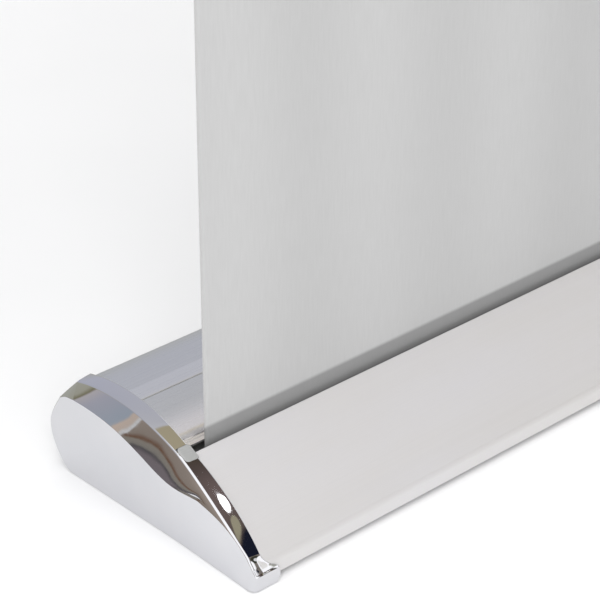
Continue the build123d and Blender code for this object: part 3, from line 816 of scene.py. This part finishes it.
def floor():
    """A round, pale, matt floor. Mirrors see only the part of it that lies beside the stand."""
    mesh_maker = bmesh.new()
    bmesh.ops.create_circle(mesh_maker, cap_ends=True, segments=96, radius=FLOOR_RADIUS)
    mesh = finished(mesh_maker, "studio_floor")
    material, nodes, place, shader = shaded("studio_floor", Roughness=0.9)
    cloud = nodes.noise(place, 3.0, 2.0)
    white = nodes.ramp(cloud, ((0.3, (0.93, 0.93, 0.935)), (0.7, (0.95, 0.95, 0.955))))
    feed(nodes, shader, Base_Color=white)
    split = nodes.make("ShaderNodeSeparateXYZ", {0: place}).outputs
    beyond = []
    for index, reach in ((0, cad_high.x), (1, cad_high.y)):
        beyond.append(nodes.math("SUBTRACT", nodes.math("ABSOLUTE", split[index]), reach))
    past = nodes.math("MAXIMUM", *beyond)
    wider = nodes.remap(split[1], 0.06, 0.0, 0.0, TABLE_FRONT, smooth=True)
    past = nodes.math("SUBTRACT", past, wider)
    far = nodes.remap(past, TABLE_EDGE, TABLE_EDGE + TABLE_BLUR, smooth=True)
    mirrored = nodes.make("ShaderNodeLightPath").outputs["Is Glossy Ray"]
    clear = nodes.make("ShaderNodeBsdfTransparent")
    whole = nodes.make("ShaderNodeMixShader", {
        0: nodes.math("MULTIPLY", far, mirrored), 1: shader.outputs[0], 2: clear.outputs[0],
    })
    nodes.tree.links.new(whole.outputs[0], nodes.tree.nodes["Material Output"].inputs["Surface"])
    mesh.materials.append(material)
    plane = bpy.data.objects.new("studio_floor", mesh)
    plane.location.z = -0.0002
    scene.collection.objects.link(plane)


def area_light(name, place, target, size, power):
    """A soft white light that neither the camera nor a mirror sees."""
    data = bpy.data.lights.new(name, "AREA")
    data.shape = "RECTANGLE"
    data.size, data.size_y = size
    data.energy = power
    light = bpy.data.objects.new(name, data)
    light.location = place
    light.rotation_euler = (Vector(target) - Vector(place)).to_track_quat("-Z", "Y").to_euler()
    light.visible_glossy = False
    light.visible_camera = False
    scene.collection.objects.link(light)


LAMP_LEAN = 0.415  # how far the lamp's corner turns from the compass, for each unit to the right
LAMP_MIDDLE = 0.56
OVERHEAD = 0.3  # the corner is seen only this far up
CORNER_FAR = -0.75  # where the dim corner ends, towards the front


def surroundings():
    """White for the camera and for diffuse light; mirrors see a bright ceiling and a dim room."""
    world = bpy.data.worlds.new("studio")
    world.use_nodes = True
    world.cycles.sampling_method = "NONE"
    scene.world = world
    nodes = Nodes(world.node_tree)
    place = nodes.make("ShaderNodeTexCoord").outputs["Generated"]
    x, y, z = nodes.make("ShaderNodeSeparateXYZ", {0: place}).outputs
    rays = nodes.make("ShaderNodeLightPath").outputs
    to_degrees = 180.0 / pi
    lean = nodes.math("MULTIPLY", nodes.math("SUBTRACT", x, LAMP_MIDDLE), LAMP_LEAN)
    along = nodes.math("SUBTRACT", y, lean)
    overhead = nodes.math("GREATER_THAN", z, OVERHEAD)

    def between(value, low, high, soft):
        rise = nodes.remap(value, low - soft, low + soft, smooth=True)
        fall = nodes.remap(value, high - soft, high + soft, 1.0, 0.0, smooth=True)
        return nodes.math("MULTIPLY", rise, fall)

    def oval(centre, radii, soft=0.25):
        parts = []
        for value, middle, radius in zip((x, along), centre, radii):
            share = nodes.math("DIVIDE", nodes.math("SUBTRACT", value, middle), radius)
            parts.append(nodes.math("MULTIPLY", share, share))
        inside = nodes.remap(nodes.math("ADD", *parts), 1.0 - soft, 1.0 + soft, 1.0, 0.0, smooth=True)
        return nodes.math("MULTIPLY", inside, overhead)

    # ceiling: grey-lavender to the rear, a dim corner with a lamp in it to the front right
    ceiling = nodes.ramp(
        nodes.remap(y, -1.0, 1.0),
        (
            (0.0, (0.95, 0.95, 0.96)), (0.5, (0.86, 0.86, 0.88)),
            (0.64, (0.62, 0.62, 0.66)), (0.9, (0.55, 0.56, 0.645)),
        ),
    )
    lit_left = nodes.remap(x, 0.38, 0.30, smooth=True)
    lit_front = nodes.remap(y, 0.15, 0.0, smooth=True)
    lit_right = nodes.remap(x, 0.80, 0.86, smooth=True)
    lit = nodes.math("MAXIMUM", nodes.math("MULTIPLY", lit_left, lit_front), lit_right)
    ceiling = nodes.mix(lit, ceiling, (1.45, 1.45, 1.46))
    gold = nodes.math("MULTIPLY", between(y, -0.02, 0.23, 0.012), between(x, 0.42, 0.72, 0.03))
    gold = nodes.math("MULTIPLY", gold, overhead)
    ceiling = nodes.mix(gold, ceiling, (0.50, 0.44, 0.30))
    dim = nodes.math("MULTIPLY", between(along, CORNER_FAR, 0.0, 0.01), between(x, 0.36, 0.78, 0.03))
    dim = nodes.math("MULTIPLY", dim, overhead)
    dim_colour = nodes.ramp(
        nodes.remap(along, CORNER_FAR, 0.0),
        (
            (0.0, (0.05, 0.05, 0.035)), (0.22, (0.07, 0.07, 0.05)), (0.27, (0.24, 0.21, 0.19)),
            (0.42, (0.28, 0.25, 0.22)), (0.45, (0.012, 0.015, 0.03)),
            (0.622, (0.012, 0.015, 0.03)), (0.637, (0.14, 0.11, 0.095)),
            (0.78, (0.20, 0.15, 0.14)), (0.86, (0.12, 0.09, 0.08)), (1.0, (0.07, 0.055, 0.035)),
        ),
    )
    ceiling = nodes.mix(dim, ceiling, dim_colour)
    ceiling = nodes.mix(oval((0.53, -0.195), (0.045, 0.0205)), ceiling, (6.0, 6.0, 6.0))
    ceiling = nodes.mix(oval((0.508, -0.251), (0.05, 0.0235)), ceiling, (0.42, 0.385, 0.27))

    # room: bands that follow the compass to the sides and the height in front of them
    ripple = nodes.math("SUBTRACT", nodes.noise(place, 9.0, 3.0), 0.5)
    compass = nodes.math("ARCTAN2", nodes.math("ABSOLUTE", y), nodes.math("ABSOLUTE", x))
    compass = nodes.math("MULTIPLY", compass, to_degrees)
    height = nodes.math("MULTIPLY", nodes.math("ARCSINE", z), to_degrees)
    turn = nodes.math("ADD", compass, nodes.math("MULTIPLY", nodes.math("ADD", height, 10.0), 0.8))
    turn = nodes.math("ADD", turn, ripple)
    sides = nodes.ramp(
        nodes.remap(turn, 30.0, 60.0),
        (
            (0.142, (0.74, 0.74, 0.74)), (0.157, (0.72, 0.71, 0.70)), (0.165, (0.62, 0.52, 0.44)),
            (0.20, (0.66, 0.54, 0.45)), (0.212, (0.40, 0.45, 0.51)), (0.33, (0.44, 0.46, 0.52)),
            (0.46, (0.47, 0.47, 0.53)), (0.60, (0.55, 0.52, 0.53)), (0.63, (0.24, 0.22, 0.14)),
            (0.70, (0.44, 0.43, 0.35)), (1.0, (0.50, 0.50, 0.44)),
        ),
    )
    height = nodes.math("ADD", height, nodes.math("MULTIPLY", nodes.math("SUBTRACT", compass, 36.0), 0.6))
    height = nodes.math("ADD", height, nodes.math("MULTIPLY", ripple, 0.8))
    fronts = nodes.ramp(
        nodes.remap(height, -26.0, -2.0),
        (
            (0.0, (0.20, 0.18, 0.20)), (0.40, (0.22, 0.19, 0.20)), (0.425, (0.09, 0.085, 0.09)),
            (0.435, (0.27, 0.25, 0.22)), (0.465, (0.30, 0.27, 0.23)), (0.475, (0.16, 0.075, 0.04)),
            (0.50, (0.31, 0.26, 0.22)), (0.70, (0.42, 0.35, 0.30)), (1.0, (0.55, 0.46, 0.40)),
        ),
    )
    room = nodes.mix(nodes.remap(turn, 34.15, 34.3), fronts, sides)
    open_air = nodes.remap(z, 0.10, 0.22, smooth=True)
    seen_in_mirrors = nodes.mix(open_air, room, ceiling)

    def background(colour, strength):
        return nodes.make("ShaderNodeBackground", {"Color": colour, "Strength": strength}).outputs[0]

    def either(choice, first, second):
        return nodes.make("ShaderNodeMixShader", {0: choice, 1: first, 2: second}).outputs[0]

    white = (1, 1, 1, 1)
    light = either(rays["Is Glossy Ray"], background(white, 0.85), background(seen_in_mirrors, 1.0))
    final = either(rays["Is Camera Ray"], light, background(white, 1.0))
    nodes.make("ShaderNodeOutputWorld", {"Surface": final})


floor()
area_light("key_left", (-1.7, -1.4, 1.5), (-0.2, 0, 0.4), (1.2, 1.2), 24.0)
area_light("top_soft", (0.2, -0.6, 3.4), (0, 0, 0), (2.5, 2.5), 30.0)
surroundings()
